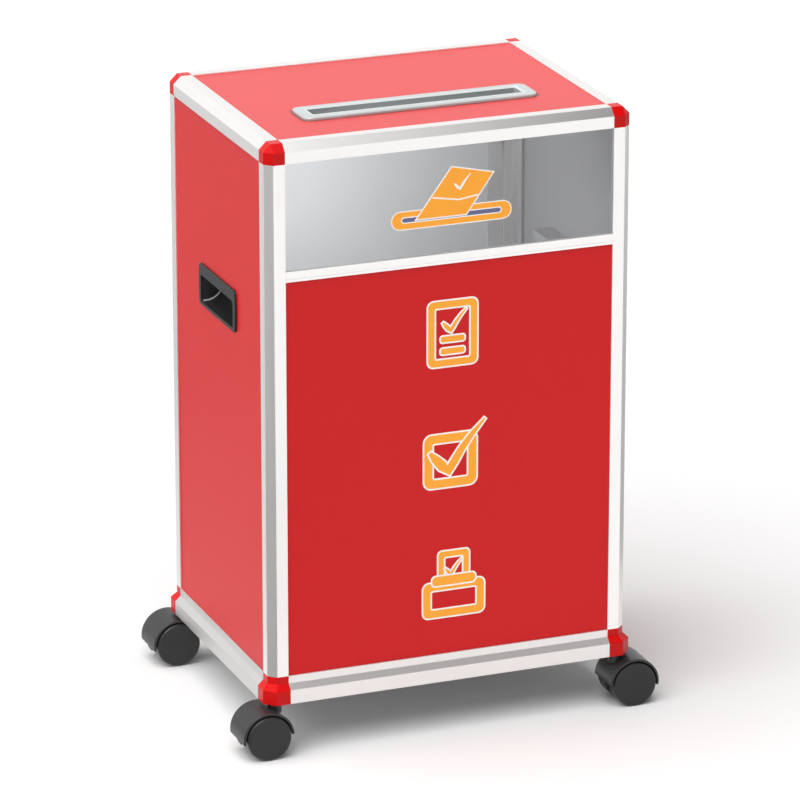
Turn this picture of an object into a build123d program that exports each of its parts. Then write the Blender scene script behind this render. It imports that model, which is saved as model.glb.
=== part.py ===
"""Wheeled ballot box with an aluminium edge frame, red sheet panels and a clear front window.

Twelve extruded edge rails meet in eight moulded corner blocks. Sheets slide into the
grooves of the rails, the back is a hinged door with a cam lock, the lid carries the
posting slot, each side carries a flush pull, and twin-wheel casters stand under the corners.

Millimetres. The origin is on the floor under the middle of the box, +Z is up and the
front, with the window, faces -Y.
"""
import os
from math import sqrt

from build123d import *

os.makedirs("parts", exist_ok=True)

# Overall sizes
body_width = 400.0
body_depth = 300.0
body_height = 600.0
caster_height = 56.0

# Sheets: aluminium-faced board and clear acrylic of one thickness
sheet_thickness = 3.0
sheet_play = 0.1
corner_clearance = 0.3
cut_overrun = 2.0

# Edge rail section: two face legs, an outer chamfer, a groove in each leg
edge_leg = 20.5
edge_chamfer = 8.0
edge_core = 11.0
rail_wall = 1.5
chamfer_round = 1.0
tip_round = 0.4
sheet_edge_play = 1.5

# Base rail section: a flange in line with the posts, a slope, and a skirt that stands out
base_height = 29.0
base_flange = 8.0
base_flare = 6.0
floor_level = 8.0
floor_ledge_wall = 1.2
base_corner_chamfer = 11.0
base_corner_round = 2.0

# Rail across the front under the window
mid_rail_height = 11.3
mid_rail_level = 455.2
mid_rail_groove = 4.0
mid_rail_line_level = 3.4
mid_rail_line_width = 0.9
mid_rail_line_depth = 0.6

# Corner blocks
tenon_length = 16.0
tenon_clearance = 0.15
corner_round = 0.5

# Posting slot and the bezel around it
slot_length = 230.0
slot_width = 20.0
slot_corner_radius = 1.5
slot_bevel = 1.2
slot_from_front = 100.0
bezel_end_border = 14.0
bezel_side_border = 12.0
bezel_thickness = 3.0
bezel_corner_radius = 9.0
bezel_edge_round = 1.4
throat_depth = 12.0
throat_wall = 2.0
throat_clearance = 0.5
snap_length = 14.0
snap_height = 2.5
snap_proud = 0.8
snap_from_slot_end = 35.0

# Flush side pulls
pull_length = 112.0
pull_height = 45.0
pull_thickness = 2.4
pull_end_bulge = 1.6
pull_corner_radius = 5.0
pull_edge_round = 1.0
pull_top_lip = 12.0
pull_low_lip = 4.0
pull_end_lip = 7.0
pull_wall = 1.5
pull_depth = 24.0
pull_scoop_radius = 19.0
pull_crown = 5.3
pull_level = 397.5
pull_clearance = 0.4
pull_mouth_round = 3.0
pull_crease_round = 1.6

# Casters
wheel_radius = 24.0
wheel_width = 18.0
wheel_gap = 12.0
wheel_wall = 2.4
wheel_face_round = 2.6
wheel_inner_round = 0.8
wheel_hub_radius = 6.5
wheel_rib_count = 6
wheel_rib_width = 1.6
wheel_rib_depth = 8.0
axle_radius = 3.0
axle_end_play = 0.4
axle_fit = 0.05
wheel_bore_fit = 0.1
axle_length = 41.0
caster_trail = 14.0
stem_inset = 8.0
hood_inner_radius = 25.8
hood_outer_radius = 28.0
hood_width = 43.6
hood_lead_angle = 3.0
hood_tail_angle = 188.0
hood_edge_round = 1.0
web_width = 10.0
web_drop = 9.0
stem_radius = 4.0
stem_bore_fit = 0.1
stem_depth = 18.0
stem_reach = 27.0
stem_collar_radius = 6.5
stem_collar_height = 1.0
boss_radius = 7.5
boss_gap = 0.3
boss_core_radius = 5.5
boss_core_reach = 30.0
boss_foot_reach = 10.0

# Back door
door_gap = 1.5
door_lip = 3.5
lip_gap = 0.2
trim_wall = 1.2
trim_face = 16.0

# Door hinges
hinge_height = 44.0
hinge_inset = 80.0
leaf_thickness = 1.2
leaf_width = 12.2
leaf_corner_radius = 2.0
knuckle_radius = 2.6
knuckle_gap = 0.3
middle_knuckle = 16.0
pin_radius = 1.3
pin_fit = 0.08

# Cam lock
lock_from_trim = 12.0
lock_head_radius = 10.0
lock_head_thickness = 2.0
lock_head_round = 0.6
lock_body_radius = 7.5
lock_hole_fit = 0.2
lock_nut_flats = 19.0
lock_nut_thickness = 3.0
plug_radius = 4.5
plug_fit = 0.1
plug_face_radius = 5.6
plug_face_thickness = 1.4
plug_seat_play = 0.2
keyway_length = 6.4
keyway_width = 1.3
keyway_depth = 4.5
cam_clearance = 0.4
cam_thickness = 2.0
cam_width = 12.0
cam_reach = 36.0
cam_stub_radius = 3.0
cam_stub_fit = 0.05
cam_screw_radius = 4.2
cam_screw_thickness = 2.2
cam_screw_slot_width = 1.0
cam_screw_slot_depth = 0.9

# Places worked out from the sizes above
half_width = body_width / 2
half_depth = body_depth / 2
base_bottom = caster_height
base_top = base_bottom + base_height
top_face = base_bottom + body_height
groove_width = sheet_thickness + 2 * sheet_play
inner_flange = rail_wall + groove_width + rail_wall
sheet_outer = rail_wall + sheet_play
sheet_inner = sheet_outer + sheet_thickness
sheet_edge = edge_core + sheet_edge_play
groove_depth = edge_leg - edge_core
base_groove_floor = base_height - groove_depth
base_sheet_edge = base_groove_floor + sheet_edge_play
skirt_height = base_height - base_flange - base_flare
mid_rail_bottom = base_bottom + mid_rail_level
post_length = top_face - edge_leg - base_top
wide_rail_length = body_width - 2 * edge_leg
deep_rail_length = body_depth - 2 * edge_leg
stem_x = half_width - stem_inset
stem_y = half_depth - stem_inset

RIGHT, BACK, UP = Vector(1, 0, 0), Vector(0, 1, 0), Vector(0, 0, 1)
LEFT, FRONT, DOWN = -RIGHT, -BACK, -UP
LEFT_FRONT = Vector(-half_width, -half_depth, 0)


def save(piece, name):
    """Labels a finished piece and writes it under its own name."""
    piece.label = name
    export_step(piece, f"parts/{name}.step")


def corner_name(prefix, front, left):
    """The name of the copy of a piece that belongs at one corner."""
    return f"{prefix}_{'front' if front else 'back'}_{'left' if left else 'right'}"


def save_at_corners(piece, prefix):
    """Writes a front left piece and its three mirror images."""
    for front in (True, False):
        for left in (True, False):
            copy = piece
            if not left:
                copy = copy.mirror(Plane.YZ)
            if not front:
                copy = copy.mirror(Plane.XZ)
            save(copy, corner_name(prefix, front, left))


def section_plane(origin, across, inward):
    """A plane across a rail, with both of its sketch axes pointing into the box."""
    return Plane(origin=origin, x_dir=across, z_dir=across.cross(inward))


# Edge rails

def hollow_points(inset):
    """The five corners of an edge rail's hollow, shrunk by inset on every side."""
    low = rail_wall + inset
    high = edge_core - rail_wall - inset
    slant = edge_chamfer + low * (sqrt(2) - 1)
    return [(low, slant), (slant, low), (high, low), (high, high), (low, high)]


def edge_rail(plane, length):
    """An extruded edge rail, centred on the plane."""
    outline = [
        (edge_chamfer, 0),
        (edge_leg, 0),
        (edge_leg, inner_flange),
        (edge_core, inner_flange),
        (edge_core, edge_core),
        (inner_flange, edge_core),
        (inner_flange, edge_leg),
        (0, edge_leg),
        (0, edge_chamfer),
    ]
    groove_middle = rail_wall + groove_width / 2
    with BuildPart() as rail:
        with BuildSketch(plane) as section:
            with BuildLine():
                Polyline(*outline, close=True)
            make_face()
            fillet(section.vertices().sort_by_distance((0, 0))[:2], chamfer_round)
            tips = section.vertices().group_by(Axis.X)[-1] + section.vertices().group_by(Axis.Y)[-1]
            fillet(tips, tip_round)
            with Locations((edge_core, groove_middle)):
                Rectangle(groove_depth, groove_width, align=(Align.MIN, Align.CENTER), mode=Mode.SUBTRACT)
            with Locations((groove_middle, edge_core)):
                Rectangle(groove_width, groove_depth, align=(Align.CENTER, Align.MIN), mode=Mode.SUBTRACT)
            with BuildLine():
                Polyline(*hollow_points(0), close=True)
            make_face(mode=Mode.SUBTRACT)
        extrude(amount=length / 2, both=True)
    return rail.part


def make_posts():
    post_middle = base_top + post_length / 2
    middle = LEFT_FRONT + UP * post_middle
    save_at_corners(edge_rail(section_plane(middle, RIGHT, BACK), post_length), "post")


def make_top_rails():
    for name, side in (("front", FRONT), ("back", BACK)):
        middle = side * half_depth + UP * top_face
        save(edge_rail(section_plane(middle, -side, DOWN), wide_rail_length), f"top_rail_{name}")
    for name, side in (("left", LEFT), ("right", RIGHT)):
        middle = side * half_width + UP * top_face
        save(edge_rail(section_plane(middle, -side, DOWN), deep_rail_length), f"top_rail_{name}")


# Base rails

def base_hollow_points(inset):
    """The five corners of a base rail's hollow, shrunk by inset on every side."""
    wall = rail_wall + inset
    slant = wall * (sqrt(2) - 1)
    outer = wall - base_flare
    inner = edge_core - wall
    top = base_groove_floor - wall
    slope_foot = skirt_height - slant
    slope_head = top - (base_height - base_flange) + wall * sqrt(2)
    return [(outer, wall), (inner, wall), (inner, top), (slope_head, top), (outer, slope_foot)]


def base_rail(plane, length):
    """A base rail: sketch x runs into the box and sketch y runs up from its underside."""
    flange_foot = base_height - base_flange
    outline = [
        (0, base_height),
        (0, flange_foot),
        (-base_flare, skirt_height),
        (-base_flare, 0),
        (edge_core, 0),
        (edge_core, base_groove_floor),
        (inner_flange, base_groove_floor),
        (inner_flange, base_height),
    ]
    ledge_gap = sheet_thickness + 2 * sheet_play
    ledge_middle = floor_level + sheet_thickness / 2
    with BuildPart() as rail:
        with BuildSketch(plane) as section:
            with BuildLine():
                Polyline(*outline, close=True)
            make_face()
            slope_ends = section.vertices().sort_by_distance((0, flange_foot))[:1]
            slope_ends += section.vertices().sort_by_distance((-base_flare, skirt_height))[:1]
            fillet(slope_ends, chamfer_round)
            fillet(section.vertices().group_by(Axis.Y)[-1], tip_round)
            fillet(section.vertices().sort_by_distance((-base_flare, 0))[:1], tip_round)
            with Locations((rail_wall, base_groove_floor)):
                Rectangle(groove_width, groove_depth, align=(Align.MIN, Align.MIN), mode=Mode.SUBTRACT)
            with Locations((edge_core, ledge_middle)):
                Rectangle(groove_depth, ledge_gap + 2 * floor_ledge_wall, align=(Align.MIN, Align.CENTER))
            with Locations((edge_core, ledge_middle)):
                Rectangle(groove_depth, ledge_gap, align=(Align.MIN, Align.CENTER), mode=Mode.SUBTRACT)
            with BuildLine():
                Polyline(*base_hollow_points(0), close=True)
            make_face(mode=Mode.SUBTRACT)
        extrude(amount=length / 2, both=True)
    return rail.part


def make_base_rails():
    for name, side in (("front", FRONT), ("back", BACK)):
        middle = side * half_depth + UP * base_bottom
        save(base_rail(section_plane(middle, -side, UP), wide_rail_length), f"base_rail_{name}")
    for name, side in (("left", LEFT), ("right", RIGHT)):
        middle = side * half_width + UP * base_bottom
        save(base_rail(section_plane(middle, -side, UP), deep_rail_length), f"base_rail_{name}")


# Rail under the window

def make_mid_rail():
    """An H section: a face plate with a scored line, a web, and a back plate."""
    plane = section_plane(FRONT * half_depth + UP * mid_rail_bottom, BACK, UP)
    middle = mid_rail_height / 2
    web_height = mid_rail_height - 2 * mid_rail_groove
    tongue_reach = wide_rail_length / 2 + edge_leg - sheet_edge
    with BuildPart() as rail:
        with BuildSketch(plane) as section:
            with Locations((0, middle)):
                Rectangle(rail_wall, mid_rail_height, align=(Align.MIN, Align.CENTER))
            fillet(section.vertices().group_by(Axis.X)[0], tip_round)
            with Locations((rail_wall, middle)):
                Rectangle(groove_width, web_height, align=(Align.MIN, Align.CENTER))
            with Locations((rail_wall + groove_width, middle)):
                Rectangle(rail_wall, mid_rail_height, align=(Align.MIN, Align.CENTER))
            with Locations((0, mid_rail_line_level)):
                Rectangle(2 * mid_rail_line_depth, mid_rail_line_width, mode=Mode.SUBTRACT)
        extrude(amount=wide_rail_length / 2, both=True)
        with BuildSketch(plane):
            with Locations((sheet_outer, middle)):
                Rectangle(sheet_thickness, web_height, align=(Align.MIN, Align.CENTER))
        extrude(amount=tongue_reach, both=True)
    save(rail.part, "mid_rail")


# Corner blocks

def add_tenon(origin, across, inward, along, points):
    """Adds a tenon of the given outline to the part being built."""
    with BuildSketch(section_plane(origin, across, inward)) as outline:
        with BuildLine():
            Polyline(*points, close=True)
        make_face()
    extrude(outline.sketch, amount=tenon_length, dir=along)


def make_top_corners():
    """A cube with its three outer edges chamfered and a tenon into each rail."""
    outer_corner = LEFT_FRONT + UP * top_face
    with BuildPart() as block:
        with Locations(outer_corner):
            Box(edge_leg, edge_leg, edge_leg, align=(Align.MIN, Align.MIN, Align.MAX))
        chamfer(block.edges().sort_by_distance(outer_corner)[:3], length=edge_chamfer)
        outer_edges = block.faces().sort_by_distance(outer_corner)[:4].edges()
        fillet(outer_edges.sort_by_distance(outer_corner)[:9], corner_round)
        points = hollow_points(tenon_clearance)
        add_tenon(outer_corner + DOWN * edge_leg, RIGHT, BACK, DOWN, points)
        add_tenon(outer_corner + RIGHT * edge_leg, BACK, DOWN, RIGHT, points)
        add_tenon(outer_corner + BACK * edge_leg, RIGHT, DOWN, BACK, points)
    save_at_corners(block.part, "corner_top")


def corner_outline(stand_out, cut):
    """A square block outline, its outer corner at -stand_out and cut off by cut."""
    near = -stand_out
    with BuildSketch() as outline:
        with BuildLine():
            Polyline(
                (near, near + cut),
                (near + cut, near),
                (edge_leg, near),
                (edge_leg, edge_leg),
                (near, edge_leg),
                close=True,
            )
        make_face()
        fillet(outline.vertices().sort_by_distance((near, near))[:2], base_corner_round)
    return outline.sketch


def make_base_corners():
    """A block that flares from the post's outline to the skirt's, with a caster socket."""
    underside = Plane(origin=LEFT_FRONT + UP * base_bottom)
    with BuildPart() as block:
        with BuildSketch(underside):
            add(corner_outline(base_flare, base_corner_chamfer))
        extrude(amount=skirt_height)
        with BuildSketch(underside.offset(skirt_height)):
            add(corner_outline(base_flare, base_corner_chamfer))
        with BuildSketch(underside.offset(skirt_height + base_flare)):
            add(corner_outline(0, edge_chamfer))
        loft(ruled=True)
        with BuildSketch(underside.offset(skirt_height + base_flare)):
            add(corner_outline(0, edge_chamfer))
        extrude(amount=base_flange)
        base_points = base_hollow_points(tenon_clearance)
        add_tenon(LEFT_FRONT + UP * base_top, RIGHT, BACK, UP, hollow_points(tenon_clearance))
        add_tenon(LEFT_FRONT + UP * base_bottom + RIGHT * edge_leg, BACK, UP, RIGHT, base_points)
        add_tenon(LEFT_FRONT + UP * base_bottom + BACK * edge_leg, RIGHT, UP, BACK, base_points)
        with BuildSketch(underside):
            with Locations((stem_inset, stem_inset)):
                Circle(stem_radius + axle_fit)
        extrude(amount=stem_depth + corner_clearance, mode=Mode.SUBTRACT)
    save_at_corners(block.part, "corner_base")


# Sheets

def notched_sheet(width, height, low_notch, high_notch):
    """A sheet outline with its low and high corners nibbled away round the corner blocks."""
    Rectangle(width, height)
    for notch, level in ((low_notch, -height / 2), (high_notch, height / 2)):
        if notch:
            with Locations((-width / 2, level), (width / 2, level)):
                Rectangle(2 * notch[0], 2 * notch[1], mode=Mode.SUBTRACT)


top_notch = (edge_leg - sheet_edge + corner_clearance,) * 2
base_notch = (top_notch[0], base_height - base_sheet_edge + corner_clearance)


def make_side_panels():
    """The left panel with its cut-out for the pull, and its mirror image."""
    low = base_bottom + base_sheet_edge
    high = top_face - sheet_edge
    plane = Plane(
        origin=LEFT * (half_width - sheet_outer) + UP * (low + high) / 2, x_dir=FRONT, z_dir=LEFT
    )
    cut_length = pull_pocket_length + 2 * pull_clearance
    cut_height = pull_pocket_high - pull_pocket_low + 2 * pull_clearance
    cut_level = base_bottom + pull_level + (pull_pocket_low + pull_pocket_high) / 2
    with BuildPart() as panel:
        with BuildSketch(plane):
            notched_sheet(body_depth - 2 * sheet_edge, high - low, base_notch, top_notch)
            with Locations((0, cut_level - (low + high) / 2)):
                Rectangle(cut_length, cut_height, mode=Mode.SUBTRACT)
        extrude(amount=-sheet_thickness)
    save(panel.part, "side_panel_left")
    save(panel.part.mirror(Plane.YZ), "side_panel_right")


def make_front_sheets():
    """The red lower panel and the clear window, one above the other in one groove."""
    web_height = mid_rail_height - 2 * mid_rail_groove
    web_low = mid_rail_bottom + mid_rail_groove
    width = body_width - 2 * sheet_edge
    spans = (
        ("front_panel", base_bottom + base_sheet_edge, web_low - sheet_play, base_notch, None),
        ("window", web_low + web_height + sheet_play, top_face - sheet_edge, None, top_notch),
    )
    for name, low, high, low_notch, high_notch in spans:
        plane = Plane(
            origin=FRONT * (half_depth - sheet_outer) + UP * (low + high) / 2, x_dir=RIGHT, z_dir=FRONT
        )
        with BuildPart() as sheet:
            with BuildSketch(plane):
                notched_sheet(width, high - low, low_notch, high_notch)
            extrude(amount=-sheet_thickness)
        save(sheet.part, name)


def make_floor_and_lid():
    """The floor sheet in the base rails, and the lid sheet with its cut-out for the slot."""
    width = body_width - 2 * sheet_edge
    depth = body_depth - 2 * sheet_edge
    with BuildPart() as floor:
        with BuildSketch(Plane.XY.offset(base_bottom + floor_level)):
            notched_sheet(width, depth, top_notch, top_notch)
        extrude(amount=sheet_thickness)
    save(floor.part, "floor_panel")
    with BuildPart() as lid:
        with BuildSketch(Plane.XY.offset(top_face - sheet_inner)):
            notched_sheet(width, depth, top_notch, top_notch)
            with Locations((0, slot_from_front - half_depth)):
                Rectangle(
                    slot_length + 2 * (throat_wall + throat_clearance),
                    slot_width + 2 * (throat_wall + throat_clearance),
                    mode=Mode.SUBTRACT,
                )
        extrude(amount=sheet_thickness)
    save(lid.part, "lid_panel")


# Posting slot

def make_slot_bezel():
    """A rounded plate on the lid with a straight throat and snap lugs under the sheet."""
    lid_outer = top_face - sheet_outer
    lid_inner = top_face - sheet_inner
    middle = (0, slot_from_front - half_depth)
    length = slot_length + 2 * bezel_end_border
    width = slot_width + 2 * bezel_side_border
    lug_x = slot_length / 2 - snap_from_slot_end
    with BuildPart() as bezel:
        with BuildSketch(Plane.XY.offset(lid_outer)):
            with Locations(middle):
                RectangleRounded(length, width, bezel_corner_radius)
        extrude(amount=bezel_thickness)
        fillet(bezel.faces().sort_by(Axis.Z)[-1].outer_wire().edges(), bezel_edge_round)
        with BuildSketch(Plane.XY.offset(lid_outer)):
            with Locations(middle):
                Rectangle(slot_length + 2 * throat_wall, slot_width + 2 * throat_wall)
        extrude(amount=-throat_depth)
        with BuildSketch(Plane.XY.offset(lid_inner - sheet_play)):
            for side in (-1, 1):
                edge = middle[1] + side * (slot_width / 2 + throat_wall)
                with Locations((-lug_x, edge), (0, edge), (lug_x, edge)):
                    Rectangle(snap_length, 2 * (throat_clearance + snap_proud))
        extrude(amount=-snap_height)
        with BuildSketch(Plane.XY.offset(lid_outer + bezel_thickness)):
            with Locations(middle):
                RectangleRounded(slot_length, slot_width, slot_corner_radius)
        extrude(amount=-(bezel_thickness + throat_depth), mode=Mode.SUBTRACT)
        mouth = bezel.faces().sort_by(Axis.Z)[-1].inner_wires()[0].edges()
        chamfer(mouth, length=slot_bevel)
    save(bezel.part, "slot_bezel")


# Flush side pulls

pull_mouth_height = pull_height - pull_top_lip - pull_low_lip
pull_mouth_length = pull_length - 2 * pull_end_lip
pull_pocket_length = pull_mouth_length + 2 * pull_wall
pull_mouth_low = pull_low_lip - pull_height / 2
pull_cavity_high = pull_mouth_low + pull_mouth_height + pull_crown
pull_pocket_low = pull_mouth_low - pull_wall
pull_pocket_high = pull_cavity_high + pull_wall


def pocket_section(inset):
    """The pocket's side view: x is the depth behind the sheet face, y is the height.

    The floor of the pocket scoops up from the mouth's low edge to the back wall, and the
    pocket rises behind the top lip so that fingers can hook over it.
    """
    back = pull_depth - inset
    low = pull_pocket_low + inset
    high = pull_pocket_high - inset
    scoop = pull_scoop_radius
    with BuildSketch() as section:
        with BuildLine():
            Line((0, low), (back - scoop, low))
            CenterArc((back - scoop, low + scoop), scoop, 270, 90)
            Line((back, low + scoop), (back, high))
            Line((back, high), (0, high))
            Line((0, high), (0, low))
        make_face()
    return section.sketch


def make_pulls():
    """A moulded plate with a scooped pocket behind it, snapped into each side panel."""
    level = base_bottom + pull_level
    face = half_width - sheet_outer
    plate_plane = Plane(origin=LEFT * face + UP * level, x_dir=FRONT, z_dir=LEFT)
    side_plane = section_plane(LEFT * face + UP * level, RIGHT, UP)
    mouth_middle = pull_mouth_low + pull_mouth_height / 2
    straight_end = pull_length / 2 - pull_end_bulge
    with BuildPart() as pull:
        with BuildSketch(plate_plane) as plate:
            with BuildLine():
                Line((-straight_end, -pull_height / 2), (straight_end, -pull_height / 2))
                ThreePointArc(
                    (straight_end, -pull_height / 2), (pull_length / 2, 0), (straight_end, pull_height / 2)
                )
                Line((straight_end, pull_height / 2), (-straight_end, pull_height / 2))
                ThreePointArc(
                    (-straight_end, pull_height / 2), (-pull_length / 2, 0), (-straight_end, -pull_height / 2)
                )
            make_face()
            fillet(plate.vertices(), pull_corner_radius)
        extrude(amount=pull_thickness)
        fillet(pull.faces().sort_by(Axis.X)[0].outer_wire().edges(), pull_edge_round)
        with BuildSketch(side_plane):
            add(pocket_section(0))
        extrude(amount=pull_pocket_length / 2, both=True)
        for lug_root in (pull_pocket_low, pull_pocket_high):
            with BuildSketch(plate_plane.offset(-(sheet_thickness + sheet_play))):
                with Locations((-snap_length, lug_root), (snap_length, lug_root)):
                    Rectangle(snap_length, 2 * (pull_clearance + snap_proud))
            extrude(amount=-snap_height)
        with BuildPart(mode=Mode.SUBTRACT) as cavity:
            with BuildSketch(side_plane):
                add(pocket_section(pull_wall))
            extrude(amount=pull_mouth_length / 2, both=True)
            for end in (0, -1):
                creases = cavity.faces().sort_by(Axis.Y)[end].edges().sort_by(Axis.X)[1:]
                fillet(creases.sort_by(Axis.Z)[:-1], pull_crease_round)
        with BuildSketch(plate_plane.offset(pull_thickness)):
            with Locations((0, mouth_middle)):
                RectangleRounded(pull_mouth_length, pull_mouth_height, pull_mouth_round)
        extrude(amount=-(pull_thickness + pull_wall), mode=Mode.SUBTRACT)
    save(pull.part, "pull_left")
    save(pull.part.mirror(Plane.YZ), "pull_right")


# Casters, drawn at the front left corner

wheel_x = -stem_x - caster_trail
wheel_middle = Vector(wheel_x, -stem_y, wheel_radius)
caster_plane = Plane(origin=wheel_middle, x_dir=RIGHT, z_dir=FRONT)
wheel_plane = Plane(origin=wheel_middle, x_dir=RIGHT, z_dir=UP)
wheel_axis = Axis(wheel_middle, BACK)


def make_stems():
    """Four steel pins, each held in a corner block and turning in a caster's boss."""
    with BuildPart() as stems:
        for side_x in (-1, 1):
            for side_y in (-1, 1):
                foot = Vector(side_x * stem_x, side_y * stem_y, base_bottom)
                with Locations(foot + DOWN * stem_reach):
                    Cylinder(stem_radius, stem_reach + stem_depth, align=(Align.CENTER, Align.CENTER, Align.MIN))
                with Locations(foot):
                    Cylinder(
                        stem_collar_radius, stem_collar_height, align=(Align.CENTER, Align.CENTER, Align.MAX)
                    )
    save(stems.part, "caster_stems")


def hood_arch():
    """The side view of the hood: a band over the wheels, open below."""
    sweep_angle = hood_tail_angle - hood_lead_angle
    with BuildSketch() as band:
        with BuildLine():
            outer = CenterArc((0, 0), hood_outer_radius, hood_lead_angle, sweep_angle)
            inner = CenterArc((0, 0), hood_inner_radius, hood_lead_angle, sweep_angle)
            Line(outer @ 0, inner @ 0)
            Line(outer @ 1, inner @ 1)
        make_face()
    return band.sketch


def make_hoods():
    """The swivelling fork: a hood over both wheels, a web between them and a stem boss."""
    boss_top = base_bottom - stem_collar_height - boss_gap
    bore_low = base_bottom - stem_reach - boss_gap
    stem_foot = Vector(-stem_x, -stem_y, 0)
    wheel_room = (hood_width - web_width) / 2 + cut_overrun
    with BuildPart() as hood:
        with BuildSketch(caster_plane):
            add(hood_arch())
        extrude(amount=hood_width / 2, both=True)
        rims = hood.faces().filter_by(Axis.Y).edges().filter_by(GeomType.CIRCLE)
        fillet(rims.sort_by(SortBy.RADIUS)[-2:], hood_edge_round)
        with BuildSketch(caster_plane):
            Circle(hood_inner_radius + (hood_outer_radius - hood_inner_radius) / 2)
            with Locations((0, -web_drop)):
                Rectangle(
                    2 * hood_outer_radius, hood_outer_radius, align=(Align.CENTER, Align.MAX), mode=Mode.SUBTRACT
                )
        extrude(amount=web_width / 2, both=True)
        with Locations(stem_foot + UP * boss_top):
            Cylinder(boss_radius, boss_foot_reach, align=(Align.CENTER, Align.CENTER, Align.MAX))
            Cylinder(boss_core_radius, boss_core_reach, align=(Align.CENTER, Align.CENTER, Align.MAX))
        for side in (-1, 1):
            with BuildSketch(caster_plane.offset(side * boss_core_radius)):
                Circle(hood_inner_radius)
            extrude(amount=side * wheel_room, mode=Mode.SUBTRACT)
        with Locations(stem_foot + UP * bore_low):
            Cylinder(
                stem_radius + stem_bore_fit,
                boss_top - bore_low,
                align=(Align.CENTER, Align.CENTER, Align.MIN),
                mode=Mode.SUBTRACT,
            )
        with BuildSketch(caster_plane):
            Circle(axle_radius + axle_fit)
        extrude(amount=boss_core_radius, both=True, mode=Mode.SUBTRACT)
    save_at_corners(hood.part, "caster_hood")


def make_axles():
    with BuildPart() as axle:
        with BuildSketch(caster_plane):
            Circle(axle_radius)
        extrude(amount=axle_length / 2, both=True)
    save_at_corners(axle.part, "caster_axle")


def wheel(side):
    """One moulded wheel: a closed outer face, a rim, a hub with a blind bore, and ribs."""
    inner = wheel_gap / 2
    outer = inner + wheel_width
    web = outer - wheel_wall
    bore_end = axle_length / 2 + axle_end_play
    bore = axle_radius + wheel_bore_fit
    rim = wheel_radius - wheel_wall
    outline = [
        (0, outer),
        (wheel_radius, outer),
        (wheel_radius, inner),
        (rim, inner),
        (rim, web),
        (wheel_hub_radius, web),
        (wheel_hub_radius, inner),
        (bore, inner),
        (bore, bore_end),
        (0, bore_end),
    ]
    with BuildPart() as piece:
        with BuildSketch(wheel_plane) as section:
            with BuildLine():
                Polyline(*[(r, side * y) for r, y in outline], close=True)
            make_face()
            fillet(section.vertices().sort_by_distance((wheel_radius, side * outer))[:1], wheel_face_round)
            fillet(section.vertices().sort_by_distance((wheel_radius, side * inner))[:1], wheel_inner_round)
        revolve(axis=wheel_axis)
        with BuildSketch(caster_plane.offset(-side * web)):
            with PolarLocations((wheel_hub_radius + rim) / 2, wheel_rib_count):
                Rectangle(rim - wheel_hub_radius + wheel_wall, wheel_rib_width)
        extrude(amount=side * wheel_rib_depth)
    return piece.part


def make_wheels():
    """Side -1 is the wheel that faces out of the box, side 1 the one under it."""
    save_at_corners(wheel(-1), "wheel_outer")
    save_at_corners(wheel(1), "wheel_inner")


# Back door

opening_half_width = half_width - edge_leg
opening_low = base_top
opening_high = top_face - edge_leg
door_half_width = opening_half_width - door_gap
door_low = opening_low + door_gap
door_high = opening_high - door_gap
door_sheet_face = half_depth + lip_gap
door_face = door_sheet_face + trim_wall
door_back = door_sheet_face - groove_width - trim_wall


def door_trim(name, middle, inward, core_length, face_length, lip):
    """A channel round the sheet's edge whose face plate laps over the frame by lip."""
    plane = Plane(origin=middle, x_dir=inward, z_dir=inward.cross(BACK))
    with BuildPart() as trim:
        with BuildSketch(plane):
            with Locations((0, door_back)):
                Rectangle(trim_face, door_sheet_face - door_back, align=(Align.MIN, Align.MIN))
            with Locations((trim_wall, door_sheet_face)):
                Rectangle(trim_face, groove_width, align=(Align.MIN, Align.MAX), mode=Mode.SUBTRACT)
        extrude(amount=core_length / 2, both=True)
        with BuildSketch(plane) as plate:
            with Locations((-lip, door_sheet_face)):
                Rectangle(trim_face + lip, trim_wall, align=(Align.MIN, Align.MIN))
            fillet(plate.vertices().group_by(Axis.Y)[-1], tip_round)
        extrude(amount=face_length / 2, both=True)
    save(trim.part, name)


def make_door():
    height = door_high - door_low
    middle_level = (door_low + door_high) / 2
    lip = door_gap + door_lip
    lock_edge = LEFT * door_half_width + UP * middle_level
    hinge_edge = RIGHT * door_half_width + UP * middle_level
    rail_length = 2 * (door_half_width - trim_face)
    sheet_bite = trim_wall + sheet_play
    door_trim("door_stile_lock", lock_edge, RIGHT, height, height + 2 * lip, lip)
    door_trim("door_stile_hinge", hinge_edge, LEFT, height, height + 2 * lip, 0)
    door_trim("door_rail_low", UP * door_low, UP, rail_length, rail_length, lip)
    door_trim("door_rail_high", UP * door_high, DOWN, rail_length, rail_length, lip)
    sheet_plane = Plane(
        origin=BACK * (door_sheet_face - sheet_play) + UP * middle_level, x_dir=LEFT, z_dir=BACK
    )
    with BuildPart() as sheet:
        with BuildSketch(sheet_plane):
            Rectangle(2 * (door_half_width - sheet_bite), height - 2 * sheet_bite)
            with Locations((-lock_x, 0)):
                Circle(lock_body_radius + lock_hole_fit, mode=Mode.SUBTRACT)
        extrude(amount=-sheet_thickness)
    save(sheet.part, "door_panel")


# Door hinges

pin_x = half_width - edge_leg - door_gap / 2
pin_y = door_face + knuckle_radius + knuckle_gap
end_knuckle = (hinge_height - middle_knuckle) / 2 - knuckle_gap
frame_leaf_thickness = lip_gap + trim_wall + leaf_thickness
hinge_levels = (door_low + hinge_inset, door_high - hinge_inset)


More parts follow.
